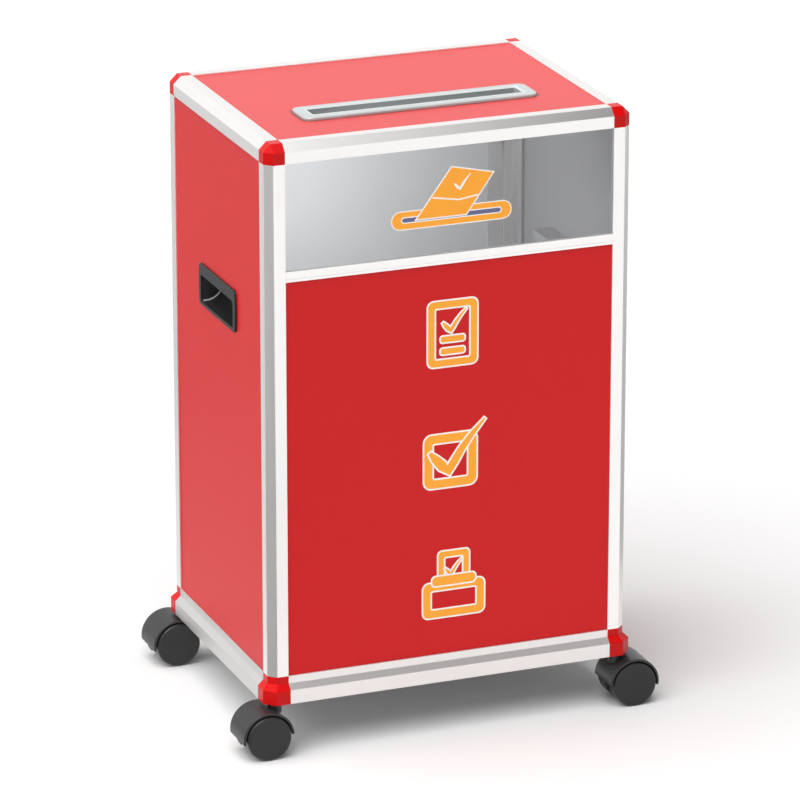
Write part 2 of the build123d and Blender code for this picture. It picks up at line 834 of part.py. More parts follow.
def hinge_leaf(level, side, face, thickness, knuckles):
    """A leaf plate at one side of the pin, with its knuckles on necks of their own."""
    near = knuckle_radius + knuckle_gap
    leaf_plane = Plane(origin=Vector(pin_x, face, level), x_dir=RIGHT, z_dir=FRONT)
    with BuildSketch(leaf_plane) as plate:
        with Locations((side * near, 0)):
            Rectangle(
                leaf_width - near,
                hinge_height,
                align=(Align.MIN if side > 0 else Align.MAX, Align.CENTER),
            )
        far = plate.vertices().sort_by(Axis.X, reverse=side > 0)[:2]
        fillet(far, leaf_corner_radius)
        for middle, length in knuckles:
            with Locations((0, middle)):
                Rectangle(near, length, align=(Align.MIN if side > 0 else Align.MAX, Align.CENTER))
    extrude(plate.sketch, amount=-thickness)
    for middle, length in knuckles:
        with Locations(Vector(pin_x, pin_y, level + middle)):
            Cylinder(knuckle_radius, length)
            Cylinder(pin_radius + pin_fit, length, mode=Mode.SUBTRACT)


def make_hinges():
    ends = (hinge_height - end_knuckle) / 2
    with BuildPart() as frame_leaves:
        for level in hinge_levels:
            hinge_leaf(level, 1, half_depth, frame_leaf_thickness, ((-ends, end_knuckle), (ends, end_knuckle)))
    save(frame_leaves.part, "hinge_leaves_frame")
    with BuildPart() as door_leaves:
        for level in hinge_levels:
            hinge_leaf(level, -1, door_face, leaf_thickness, ((0, middle_knuckle),))
    save(door_leaves.part, "hinge_leaves_door")
    with BuildPart() as pins:
        with Locations(*[(pin_x, pin_y, level) for level in hinge_levels]):
            Cylinder(pin_radius, hinge_height)
    save(pins.part, "hinge_pins")


# Cam lock, on the door's free side at half height

lock_x = -(door_half_width - trim_face - lock_from_trim)
lock_level = (door_low + door_high) / 2
sheet_face = door_sheet_face - sheet_play
sheet_back = sheet_face - sheet_thickness
cam_front = half_depth - inner_flange - cam_clearance
lock_end = cam_front + sheet_play
lock_axis_point = Vector(lock_x, 0, lock_level)


def lock_plane(y):
    """A plane across the lock at depth y, with its sketch x to the right and y up."""
    return Plane(origin=lock_axis_point + BACK * y, x_dir=RIGHT, z_dir=FRONT)


def make_lock():
    head_face = sheet_face + lock_head_thickness
    plug_seat = head_face - plug_face_thickness - plug_seat_play
    with BuildPart() as barrel:
        with BuildSketch(lock_plane(head_face)):
            Circle(lock_head_radius)
        extrude(amount=lock_head_thickness)
        fillet(barrel.faces().sort_by(Axis.Y)[-1].edges(), lock_head_round)
        with BuildSketch(lock_plane(sheet_face)):
            Circle(lock_body_radius)
        extrude(amount=sheet_face - lock_end)
        with BuildSketch(lock_plane(head_face)):
            Circle(plug_face_radius + plug_fit)
        extrude(amount=head_face - plug_seat, mode=Mode.SUBTRACT)
        with BuildSketch(lock_plane(head_face)):
            Circle(plug_radius + plug_fit)
        extrude(amount=head_face - lock_end, mode=Mode.SUBTRACT)
    save(barrel.part, "lock_barrel")
    with BuildPart() as nut:
        with BuildSketch(lock_plane(sheet_back)):
            RegularPolygon(lock_nut_flats / 2, 6, major_radius=False)
            Circle(lock_body_radius + plug_fit, mode=Mode.SUBTRACT)
        extrude(amount=lock_nut_thickness)
    save(nut.part, "lock_nut")
    with BuildPart() as plug:
        with BuildSketch(lock_plane(head_face)):
            Circle(plug_face_radius)
        extrude(amount=plug_face_thickness)
        with BuildSketch(lock_plane(head_face)):
            Circle(plug_radius)
        extrude(amount=head_face - lock_end)
        with BuildSketch(lock_plane(lock_end)):
            Circle(cam_stub_radius)
        extrude(amount=lock_end - cam_front + cam_thickness)
        with BuildSketch(lock_plane(head_face)):
            Rectangle(keyway_width, keyway_length)
        extrude(amount=keyway_depth, mode=Mode.SUBTRACT)
    save(plug.part, "lock_plug")
    cam_back = cam_front - cam_thickness
    with BuildPart() as cam:
        with BuildSketch(lock_plane(cam_front)) as blade:
            Rectangle(cam_width, cam_reach, align=(Align.CENTER, Align.MAX))
            fillet(blade.vertices().group_by(Axis.Y)[0], cam_width / 4)
            Circle(cam_width / 2)
            Circle(cam_stub_radius + cam_stub_fit, mode=Mode.SUBTRACT)
        extrude(amount=cam_thickness)
    save(cam.part, "lock_cam")
    with BuildPart() as screw:
        with BuildSketch(lock_plane(cam_back)):
            Circle(cam_screw_radius)
        extrude(amount=cam_screw_thickness)
        with BuildSketch(lock_plane(cam_back - cam_screw_thickness)):
            Rectangle(2 * cam_screw_radius, cam_screw_slot_width)
        extrude(amount=-cam_screw_slot_depth, mode=Mode.SUBTRACT)
    save(screw.part, "lock_screw")


make_posts()
make_top_rails()
make_base_rails()
make_mid_rail()
make_top_corners()
make_base_corners()
make_side_panels()
make_front_sheets()
make_floor_and_lid()
make_slot_bezel()
make_pulls()
make_stems()
make_hoods()
make_axles()
make_wheels()
make_door()
make_hinges()
make_lock()
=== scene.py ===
"""Looks for a wheeled ballot box: finishes for its CAD nodes, stuck-on marks and a small studio.

It is laid out as an add-on and run as a script. Lengths are metres, in the frame of the
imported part: X to the right of someone who faces the window, Y towards the door, Z up.
"""
import math

import bpy
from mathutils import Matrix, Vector


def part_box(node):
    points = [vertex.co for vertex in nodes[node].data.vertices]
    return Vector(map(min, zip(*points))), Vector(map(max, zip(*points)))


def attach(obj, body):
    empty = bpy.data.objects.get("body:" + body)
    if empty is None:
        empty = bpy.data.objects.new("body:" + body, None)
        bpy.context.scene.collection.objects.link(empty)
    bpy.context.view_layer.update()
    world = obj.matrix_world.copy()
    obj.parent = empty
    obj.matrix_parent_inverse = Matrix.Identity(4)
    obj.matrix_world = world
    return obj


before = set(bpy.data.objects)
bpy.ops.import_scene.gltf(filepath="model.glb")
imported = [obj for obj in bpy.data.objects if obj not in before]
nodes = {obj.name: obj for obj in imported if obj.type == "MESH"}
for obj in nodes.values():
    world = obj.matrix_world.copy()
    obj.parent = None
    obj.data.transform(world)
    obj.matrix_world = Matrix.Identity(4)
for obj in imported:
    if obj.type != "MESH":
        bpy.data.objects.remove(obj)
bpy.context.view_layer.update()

bl_info = {
    "name": "Ballot box looks",
    "version": (1, 0, 0),
    "blender": (4, 5, 0),
    "location": "View3D > Sidebar > Ballot box",
    "description": "Finishes, film marks and studio for a wheeled ballot box",
    "category": "Object",
}

CORNERS = ("front_left", "front_right", "back_left", "back_right")
SIDES = ("left", "right")
AXES = "XYZ"

# A Mix node's sockets for colours, which share their names with its other sockets
FIRST_COLOUR, SECOND_COLOUR, MIXED_COLOUR = 6, 7, 2

# Scales of noise: draw lines across and along an extrusion, and a mould's pits and clouds
ACROSS_LINES, ALONG_LINES = 900, 6
PIT_SCALE, CLOUD_SCALE = 1400.0, 30.0

# Metal and other colours that no setting holds
PANE_TINT = (0.93, 0.94, 0.95)
# The crease grey is a painted highlight
CREASE_HIGHLIGHT_GREY = (0.45, 0.45, 0.46)
ZINC = (0.56, 0.56, 0.55)
HINGE_STEEL = (0.6, 0.6, 0.59)
LOCK_PLATING = (0.78, 0.78, 0.79)

# Painted shade on the rails' metal for the base rails, darker still on the side ones, and the
# shade of the black for the casters
BASE_RAIL_PAINTED_SHADE, BASE_SIDE_RAIL_PAINTED_SHADE = 0.88, 0.7304
CASTER_BLACK = 1.1

# How strongly the sheets reflect, as Specular IOR levels
SHEET_GLOSS, LID_GLOSS = 0.22, 0.95

# Painted shade on the inside's grey of the side panels, in general and as a painted shadow next
# to a post. The band between the two starts and ends this far from the post's edge
SIDE_PAINTED_SHADE, POST_PAINTED_SHADOW = 0.66, 0.228
POST_SHADOW_BAND = (0.0085, 0.0015)

# Half the slot's length and width, the throat's painted shade from left to right, and the rim's
# width and painted highlight
SLOT_HALF = (0.115, 0.010)
THROAT_EDGE = 0.0003
THROAT_PAINTED_SHADES = (0.24, 0.6)
RIM_WIDTH = 0.0032
RIM_PAINTED_HIGHLIGHT = 1.22

# The painted shadow round the bezel fades between these distances from its outline
BEZEL_CORNER = 0.009
BEZEL_SHADOW_FADE = (0.0009, 0.0045)
BEZEL_SHADOW_SHADE = 0.25

# A pull's pocket is nearer to the box's middle than this. Its creases, with a painted highlight,
# stand in from the pull's ends, and the walls beyond them are paler with painted light
POCKET_FACE = 0.1985
CREASE_INSET = (0.0085, 0.0071)
END_WALL_PAINTED_LIGHT = 2.2

# The outlines of the marks are in millimetres
PER_METRE = 1000

# A brushed tick's middle line and widths, as shares of its size
TICK_LINE = ((-0.42, 0.38), (-0.30, 0.24), (-0.14, 0.07), (0.0, -0.04), (0.12, 0.14),
             (0.30, 0.42), (0.52, 0.70), (0.80, 1.0))
TICK_WIDTHS = (0.07, 0.17, 0.22, 0.22, 0.18, 0.15, 0.11, 0.04)

# The studio's floor, and how far the cards on it are turned to lie square to the camera
FLOOR_SIZE = 16
FLOOR_MIDDLE = (0, 4, 0)
CARD_TURN = math.radians(21.5)

# The lamps. Each one shines away from where its back points
OVERHEAD_BACK = (-0.40, -0.17, 0.90)
OVERHEAD_DISTANCE = 3
OVERHEAD_SPREAD = math.radians(70)
INSIDE_BACK = (0.04, -0.95, 0.04)
INSIDE_PLACE = (-0.08, -0.13, 0.545)
INSIDE_SIZE = 0.05

# The surroundings' level to the camera, and the way to the bright patch that is mirrored
SEEN_LEVEL = 1.25
PATCH_TOWARD = (-0.41, -0.45, 0.81)

# What every colour setting has
COLOUR = {"subtype": "COLOR", "size": 3, "min": 0, "max": 1}


class Socket:
    """One output of a finish, with arithmetic that adds Math nodes."""

    def __init__(self, finish, output):
        self.finish = finish
        self.output = output

    def __add__(self, other):
        return self.finish.math("ADD", self, other)

    __radd__ = __add__

    def __sub__(self, other):
        return self.finish.math("SUBTRACT", self, other)

    def __rsub__(self, other):
        return self.finish.math("SUBTRACT", other, self)

    def __mul__(self, other):
        return self.finish.math("MULTIPLY", self, other)

    __rmul__ = __mul__

    def size(self):
        """The value without its sign."""
        return self.finish.math("ABSOLUTE", self, 0.0)

    def above(self, level):
        """1 where the value is greater than a level, 0 elsewhere."""
        return self.finish.math("GREATER_THAN", self, level)

    def either(self, other):
        """The greater of two values."""
        return self.finish.math("MAXIMUM", self, other)


def shade(colour, factor):
    return tuple(min(1.0, part * factor) for part in colour[:3])


def opaque(colour):
    """A colour with full alpha. A socket stays as it is."""
    return colour if isinstance(colour, Socket) else (*colour, 1)


class Finish:
    """A node tree of a material or the world, filled by node() and closed by output()."""

    def __init__(self, owner):
        owner.use_nodes = True
        self.owner = owner
        self.tree = owner.node_tree
        self.tree.nodes.clear()

    def node(self, kind, settings=None, values=None, output=0):
        """Adds a node, sets it up, fills its sockets and returns one of its outputs."""
        made = self.tree.nodes.new(kind)
        for name, value in (settings or {}).items():
            setattr(made, name, value)
        for name, value in (values or {}).items():
            if isinstance(value, Socket):
                self.tree.links.new(value.output, made.inputs[name])
            else:
                made.inputs[name].default_value = value
        return Socket(self, made.outputs[output])

    def math(self, operation, first, second):
        return self.node("ShaderNodeMath", {"operation": operation}, {0: first, 1: second})

    def vector_math(self, operation, first, second, output="Vector"):
        return self.node(
            "ShaderNodeVectorMath", {"operation": operation}, {0: first, 1: second}, output
        )

    def ramp(self, value, span, levels=(0.0, 1.0)):
        """Takes a span of a value to two levels, and keeps the level beyond each end."""
        return self.node(
            "ShaderNodeMapRange", {"clamp": True},
            {"Value": value, "From Min": span[0], "From Max": span[1],
             "To Min": levels[0], "To Max": levels[1]},
        )

    def place(self, axis=None, kind="Object"):
        """Coordinates, whole or along one axis."""
        whole = self.node("ShaderNodeTexCoord", output=kind)
        if axis is None:
            return whole
        return self.node("ShaderNodeSeparateXYZ", values={0: whole}, output=axis)

    def beyond(self, axis, middle, half):
        """How far outside a span a point lies, and below 0 inside it."""
        return (self.place(axis) - middle).size() - half

    def ray(self, kind):
        """1 for one kind of ray, 0 for the others."""
        return self.node("ShaderNodeLightPath", output=f"Is {kind} Ray")

    def grain(self, scale, detail=2.0, stretch=(1, 1, 1)):
        """Noise from 0 to 1 that is finer along the axes with more stretch."""
        spread = self.node("ShaderNodeMapping", values={"Vector": self.place(), "Scale": stretch})
        return self.node(
            "ShaderNodeTexNoise", values={"Vector": spread, "Scale": scale, "Detail": detail}
        )

    def blend(self, share, first, second):
        """One colour into another."""
        return self.node(
            "ShaderNodeMix", {"data_type": "RGBA"},
            {0: share, FIRST_COLOUR: opaque(first), SECOND_COLOUR: opaque(second)},
            MIXED_COLOUR,
        )

    def shades(self, share, colour, first, second):
        """One shade of a colour into another."""
        return self.blend(share, shade(colour, first), shade(colour, second))

    def moulded(self, colour, spread):
        """A spark-eroded mould's pits, and a colour that varies by a share either way."""
        pits = self.grain(PIT_SCALE)
        return pits, self.shades(self.grain(CLOUD_SCALE), colour, 1 - spread, 1 + spread)

    def bump(self, height, depth, strength):
        return self.node(
            "ShaderNodeBump", values={"Strength": strength, "Distance": depth, "Height": height}
        )

    def surface(self, **values):
        """A Principled shader whose sockets are given with underscores for spaces."""
        named = {name.replace("_", " "): value for name, value in values.items()}
        named["Base Color"] = opaque(named["Base Color"])
        return self.node("ShaderNodeBsdfPrincipled", values=named)

    def output(self, shader, kind="ShaderNodeOutputMaterial"):
        """Closes the tree with a shader and returns what it belongs to."""
        made = self.tree.nodes.new(kind)
        self.tree.links.new(shader.output, made.inputs["Surface"])
        return self.owner


def new_finish(name):
    return Finish(bpy.data.materials.new(name))


def middle_of(name):
    """The middle of a node's box."""
    low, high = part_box(name)
    return (low + high) / 2


def rail_metal(colours, name, axis, level=1.0):
    """Satin anodised extrusion, with faint draw lines along one axis."""
    finish = new_finish(name)
    stretch = [ACROSS_LINES] * 3
    stretch[AXES.index(axis)] = ALONG_LINES
    lines = finish.grain(1.0, detail=3.0, stretch=stretch)
    cloud = finish.grain(7.0)
    tone = finish.shades(lines * 0.5 + cloud * 0.5, colours.rail, 0.95 * level, 1.03 * level)
    return finish.output(finish.surface(
        Base_Color=tone,
        Metallic=0.8,
        Roughness=0.27 + 0.09 * lines,
        Normal=finish.bump(lines, depth=0.00003, strength=0.5),
    ))


def moulded_gloss(colours):
    """Glossy red moulding with a slight flow in its skin."""
    finish = new_finish("corner_moulding")
    flow = finish.grain(60.0)
    cloud = finish.grain(18.0, detail=1.0)
    return finish.output(finish.surface(
        Base_Color=finish.shades(cloud, colours.corner, 0.9, 1.08),
        Roughness=0.2 + 0.1 * flow,
        Specular_IOR_Level=0.18,
        Normal=finish.bump(flow, depth=0.0003, strength=0.25),
    ))


def painted_shadow_beside(finish, fitting):
    """0 against the rounded outline of a fitting on the lid, and 1 outside the painted shadow
    round it.
    """
    low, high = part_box(fitting)
    middle, half = (low + high) / 2, (high - low) / 2
    across, deep = (
        finish.beyond(axis, middle[at], half[at] - BEZEL_CORNER).either(0.0)
        for at, axis in enumerate("XY")
    )
    fade = [(BEZEL_CORNER + reach) ** 2 for reach in BEZEL_SHADOW_FADE]
    return finish.ramp(across * across + deep * deep, fade)


def panel_board(colours, panel, axis, gloss, both_sides=False, fitting=None):
    """Coated board: red on the outside of its middle plane, grey on the inside.

    A board for both sides of the box has a darker grey, painted shade, with a painted shadow by
    the posts.
    The red has a painted shadow round a fitting.
    """
    finish = new_finish(f"{panel}_board")
    middle = middle_of(panel)[AXES.index(axis)]
    across = finish.place(axis)
    if both_sides:
        outside = across.size().above(abs(middle))
    else:
        outside = across.above(middle) if middle > 0 else 1 - across.above(middle)
    peel = finish.grain(420.0)
    cloud = finish.grain(3.5, detail=3.0)
    red = finish.shades(cloud, colours.sheet, 0.97, 1.03)
    if fitting:
        # Painted shadow on the red round the fitting
        red = finish.blend(
            painted_shadow_beside(finish, fitting), shade(colours.sheet, BEZEL_SHADOW_SHADE), red
        )
    # Painted shade: the side panels' inside grey is darker than the other sheets', with a painted
    # shadow in a band by the posts
    if both_sides:
        post_edge = abs(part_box("post_front_left")[1].y)
        band = [post_edge - inset for inset in POST_SHADOW_BAND]
        post_shadow = finish.ramp(finish.place("Y").size(), band)
        grey = finish.shades(post_shadow, colours.inside, SIDE_PAINTED_SHADE, POST_PAINTED_SHADOW)
    else:
        grey = finish.shades(cloud, colours.inside, 0.95, 1.05)
    return finish.output(finish.surface(
        Base_Color=finish.blend(outside, grey, red),
        Roughness=0.3 + 0.08 * peel,
        Specular_IOR_Level=gloss,
        Normal=finish.bump(peel, depth=0.00004, strength=0.4),
    ))


def inner_board(colours):
    """The grey floor sheet, with the faint scuffs that paper leaves."""
    finish = new_finish("floor_board")
    scuffs = finish.grain(1.0, detail=4.0, stretch=(12, 260, 12))
    return finish.output(finish.surface(
        Base_Color=finish.shades(scuffs, colours.inside, 0.86, 1.04),
        Roughness=0.4 + 0.15 * scuffs,
        Specular_IOR_Level=0.3,
    ))


def clear_pane():
    """Clear acrylic that lets the lamps through, with a faint haze of handling."""
    finish = new_finish("clear_acrylic")
    pane = finish.surface(
        Base_Color=PANE_TINT,
        Roughness=0.01 + 0.03 * finish.grain(9.0, detail=4.0),
        IOR=1.49,
        Transmission_Weight=1.0,
    )
    open_way = finish.node("ShaderNodeBsdfTransparent", values={"Color": opaque(PANE_TINT)})
    return finish.output(finish.node(
        "ShaderNodeMixShader", values={0: finish.ray("Shadow"), 1: pane, 2: open_way}
    ))


def textured_plastic(name, colour, roughness, depth, specular):
    """Moulded plastic with a spark-eroded grain."""
    finish = new_finish(name)
    pits, tone = finish.moulded(colour, spread=0.12)
    return finish.output(finish.surface(
        Base_Color=tone,
        Roughness=roughness + 0.12 * pits,
        Specular_IOR_Level=specular,
        Normal=finish.bump(pits, depth, strength=0.6),
    ))


def pull_plastic(colours, side):
    """Black moulding with a painted highlight on the creases in its pocket, and painted light on
    its end walls.

    The back of the pocket, which looks into the box, is sprayed in the sheets' grey, at the side
    panels' painted shade.
    """
    finish = new_finish(f"pull_plastic_{side}")
    pits, tone = finish.moulded(colours.black, spread=0.12)
    outer, inner = (0, 1) if side == "left" else (1, 0)
    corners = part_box(f"pull_{side}")
    mouth = middle_of(f"pull_{side}")
    mouth.x = corners[outer].x
    inner_face = abs(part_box(f"side_panel_{side}")[inner].x)
    begins, stops = (corners[1].y - inset for inset in CREASE_INSET)
    along, out = finish.place("Y").size(), finish.place("X").size()
    within = 1 - out.above(POCKET_FACE)
    # Painted light on the pocket's end walls
    tone = finish.blend(
        within * along.above(stops), tone, shade(colours.black, END_WALL_PAINTED_LIGHT)
    )
    # Painted highlight along the pocket's creases
    crease_highlight = along.above(begins) * (1 - along.above(stops))
    tone = finish.blend(within * crease_highlight, tone, CREASE_HIGHLIGHT_GREY)
    from_mouth = finish.vector_math("SUBTRACT", finish.place(), mouth)
    facing_away = finish.vector_math(
        "DOT_PRODUCT", finish.place(kind="Normal"), from_mouth, "Value"
    ).above(0.0)
    # The back takes the side panels' grey, with its painted shade
    behind = facing_away * (1 - out.above(inner_face))
    return finish.output(finish.surface(
        Base_Color=finish.blend(behind, tone, shade(colours.inside, SIDE_PAINTED_SHADE)),
        Roughness=0.26 + 0.12 * pits,
        Specular_IOR_Level=0.26,
        Normal=finish.bump(pits, depth=0.00003, strength=0.6),
    ))


def bezel_plate(colour):
    """Silver plate with a painted highlight on the rim round its mouth, and painted shade in its
    throat that darkens to the left.
    """
    finish = new_finish("bezel_silver")
    middle = middle_of("slot_bezel")
    outside = finish.beyond("X", middle.x, SLOT_HALF[0]).either(
        finish.beyond("Y", middle.y, SLOT_HALF[1])
    )
    pits, plate = finish.moulded(colour, spread=0.08)
    # Painted highlight on the rim round the mouth
    plate_with_highlight = finish.blend(outside.above(RIM_WIDTH), shade(colour, RIM_PAINTED_HIGHLIGHT), plate)
    # Painted shade in the throat, darkest at its left end
    rightward = finish.ramp(finish.place("X") - middle.x, (-SLOT_HALF[0], SLOT_HALF[0]))
    throat = finish.shades(rightward, colour, *THROAT_PAINTED_SHADES)
    return finish.output(finish.surface(
        Base_Color=finish.blend(outside.above(THROAT_EDGE), throat, plate_with_highlight),
        Metallic=0.35,
        Roughness=0.3 + 0.12 * pits,
        Normal=finish.bump(pits, depth=0.00002, strength=0.6),
    ))


def plated_metal(name, colour, roughness, line_scale):
    """Plated steel, with fine turning marks where it is brushed."""
    finish = new_finish(name)
    stretch = (line_scale, line_scale, line_scale * 0.1)
    lines = finish.grain(1.0, detail=3.0, stretch=stretch)
    return finish.output(finish.surface(
        Base_Color=finish.shades(lines, colour, 0.88, 1.06),
        Metallic=1.0,
        Roughness=roughness + 0.12 * lines,
        Normal=finish.bump(lines, depth=0.00002, strength=0.4),
    ))


def printed_film(name, colour):
    """Sign film, a little uneven in its print."""
    finish = new_finish(name)
    print_grain = finish.grain(55.0, detail=3.0)
    return finish.output(finish.surface(
        Base_Color=finish.shades(print_grain, colour, 0.95, 1.05),
        Roughness=0.32 + 0.08 * print_grain,
        Specular_IOR_Level=0.25,
    ))


def dress(names, material):
    """Gives CAD nodes one finish."""
    for name in names:
        slots = nodes[name].material_slots
        if not slots:
            raise RuntimeError(f"{name} has no material slot")
        for slot in slots:
            slot.material = material


def select_only(*objects):
    bpy.ops.object.select_all(action="DESELECT")
    for item in objects:
        item.select_set(True)
    bpy.context.view_layer.objects.active = objects[-1]


def seat(piece, body):
    """Lets a finished piece ride on a body."""
    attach(piece, body)


def rounded_box(left, low, right, high, radius, steps=6):
    """Corner points of a rounded rectangle, run counterclockwise, in millimetres."""
    points = []
    for x, y, start in (
        (right - radius, high - radius, 0),
        (left + radius, high - radius, 90),
        (left + radius, low + radius, 180),
        (right - radius, low + radius, 270),
    ):
        for step in range(steps + 1):
            angle = math.radians(start + 90 * step / steps)
            points.append((x + radius * math.cos(angle), y + radius * math.sin(angle)))
    return points


def ring(left, low, right, high, radius, stroke, least_radius=2.6):
    """A rounded frame: its outside and its hole."""
    hole = rounded_box(
        left + stroke, low + stroke, right - stroke, high - stroke,
        max(radius - stroke, least_radius),
    )
    return [rounded_box(left, low, right, high, radius), hole[::-1]]


def stroke_path(points, widths):
    """The outline of a brush stroke along points, with its own width at each."""
    left_bank, right_bank = [], []
    for index, (x, y) in enumerate(points):
        before = Vector(points[max(index - 1, 0)])
        after = Vector(points[min(index + 1, len(points) - 1)])
        along = (after - before).normalized()
        half = widths[index] / 2
        left_bank.append((x - along.y * half, y + along.x * half))
        right_bank.append((x + along.y * half, y - along.x * half))
    return right_bank + left_bank[::-1]


def tick(x, y, size):
    """A brushed tick whose elbow is at a point."""
    return [stroke_path(
        [(x + size * along, y + size * up) for along, up in TICK_LINE],
        [size * width for width in TICK_WIDTHS],
    )]


def film(outlines, grow, lift, thickness, material):
    """One cut layer of sign film: closed outlines in millimetres, grown by a border."""
    cut = bpy.data.curves.new("film", "CURVE")
    cut.dimensions = "2D"
    cut.fill_mode = "BOTH"
    cut.offset = grow
    cut.extrude = thickness / 2
    for outline in outlines:
        line = cut.splines.new("POLY")
        line.points.add(len(outline) - 1)
        for point, (x, y) in zip(line.points, outline):
            point.co = (x / PER_METRE, y / PER_METRE, 0, 1)
        line.use_cyclic_u = True
    layer = bpy.data.objects.new("film", cut)
    bpy.context.scene.collection.objects.link(layer)
    layer.location.z = lift + thickness / 2
    select_only(layer)
    bpy.ops.object.convert(target="MESH")
    layer = bpy.context.view_layer.objects.active
    bpy.ops.object.transform_apply(location=True, rotation=False, scale=False)
    layer.data.materials.clear()
    layer.data.materials.append(material)
    return layer


def sticker(name, layers, middle, thickness):
    """Stacks cut layers, stands them on a panel that faces the front, and joins them."""
    select_only(*(
        film(outlines, grow, level * thickness, thickness, material)
        for level, (outlines, grow, material) in enumerate(layers)
    ))
    bpy.ops.object.join()
    piece = bpy.context.view_layer.objects.active
    piece.name = piece.data.name = name
    piece.rotation_euler = (math.radians(90), 0, 0)
    piece.location = middle
    select_only(piece)
    bpy.ops.object.transform_apply(location=True, rotation=True, scale=True)
    bpy.ops.object.mode_set(mode="EDIT")
    bpy.ops.mesh.select_all(action="SELECT")
    bpy.ops.mesh.remove_doubles(threshold=0.000001)
    bpy.ops.mesh.normals_make_consistent(inside=False)
    bpy.ops.object.mode_set(mode="OBJECT")
    return piece


def mark_layers(orange, white, border, shapes):
    """White border under orange fill for each shape, back to front."""
    layers = []
    for outlines in shapes:
        layers.append((outlines, border, white))
        layers.append((outlines, 0.0, orange))
    return layers


class BoxColours(bpy.types.PropertyGroup):
    """Colours of the box's finishes."""

    sheet: bpy.props.FloatVectorProperty(
        name="Sheet red", description="Outer face of the sheet panels",
        default=(0.58, 0.008, 0.009), **COLOUR,
    )
    inside: bpy.props.FloatVectorProperty(
        name="Sheet grey", description="Inner face of the sheet panels",
        default=(0.60, 0.60, 0.61), **COLOUR,
    )
    corner: bpy.props.FloatVectorProperty(
        name="Corner red", description="Moulded corner blocks",
        default=(0.54, 0.002, 0.002), **COLOUR,
    )
    rail: bpy.props.FloatVectorProperty(
        name="Rail metal", description="Anodised edge rails",
        default=(0.93, 0.915, 0.90), **COLOUR,
    )
    bezel: bpy.props.FloatVectorProperty(
        name="Slot bezel", description="Silver plate round the posting slot",
        default=(0.525, 0.57, 0.565), **COLOUR,
    )
    black: bpy.props.FloatVectorProperty(
        name="Black plastic", description="Side pulls and casters",
        default=(0.017, 0.017, 0.018), **COLOUR,
    )
    film_orange: bpy.props.FloatVectorProperty(
        name="Film orange", description="Fill of the marks",
        default=(0.95, 0.38, 0.035), **COLOUR,
    )
    film_white: bpy.props.FloatVectorProperty(
        name="Film white", description="Border of the marks",
        default=(0.90, 0.86, 0.82), **COLOUR,
    )
    film_slate: bpy.props.FloatVectorProperty(
        name="Film slate", description="Dark fill of the slot on the window mark",
        default=(0.13, 0.135, 0.25), **COLOUR,
    )


class BoxMarks(bpy.types.PropertyGroup):
    """Sizes and places of the film marks."""

    film_thickness: bpy.props.FloatProperty(
        name="Film thickness", description="Thickness of one layer of sign film",
        unit="LENGTH", default=0.00006, min=0.00001, max=0.001, precision=5,
    )
    border: bpy.props.FloatProperty(
        name="Border", description="Width of the white line round each shape",
        unit="LENGTH", default=0.0018, min=0.0002, max=0.01, precision=4,
    )
    from_middle: bpy.props.FloatProperty(
        name="From middle", description="How far the marks stand right of the panel's middle",
        unit="LENGTH", default=0.0046, min=-0.1, max=0.1,
    )
    levels: bpy.props.FloatVectorProperty(
        name="Levels", description="Heights of the three marks above the floor",
        unit="LENGTH", size=3, default=(0.436, 0.303, 0.162),
    )
    window_border: bpy.props.FloatProperty(
        name="Window border", description="Width of the white line in the window mark",
        unit="LENGTH", default=0.0012, min=0.0002, max=0.01, precision=4,
    )
    window_from_middle: bpy.props.FloatProperty(
        name="Window from middle",
        description="How far the window mark stands right of the window's middle",
        unit="LENGTH", default=0.001, min=-0.1, max=0.1,
    )
    window_level: bpy.props.FloatProperty(
        name="Window level", description="Height of the window mark above the floor",
        unit="LENGTH", default=0.582, min=0.53, max=0.63,
    )


class BoxStudio(bpy.types.PropertyGroup):
    """Camera, lamps and surroundings."""

    camera_place: bpy.props.FloatVectorProperty(
        name="Camera place", description="Where the camera stands",
        subtype="TRANSLATION", unit="LENGTH", size=3, default=(-1.9873, -5.0658, 2.1903),
    )
    camera_turn: bpy.props.FloatVectorProperty(
        name="Camera turn", description="Which way the camera faces",
        subtype="EULER", unit="ROTATION", size=3,
        default=(math.radians(70.99463), 0, math.radians(-21.44953)),
    )
    camera_lens: bpy.props.FloatProperty(
        name="Lens", description="Focal length on a 36 mm sensor",
        unit="CAMERA", default=245.5, min=50, max=600,
    )
    ambient: bpy.props.FloatProperty(
        name="Surround light", description="Level of the light from all round",
        default=0.5, min=0, max=2,
    )
    key: bpy.props.FloatProperty(
        name="Overhead light", description="Strength of the wide lamp overhead",
        default=4.15, min=0, max=20,
    )
    inside: bpy.props.FloatProperty(
        name="Inside light", description="Power of the small lamp behind the window, in watts",
        default=0.72, min=0, max=50,
    )
    floor_tone: bpy.props.FloatProperty(
        name="Floor tone", description="How pale the floor is",
        default=0.68, min=0, max=1,
    )


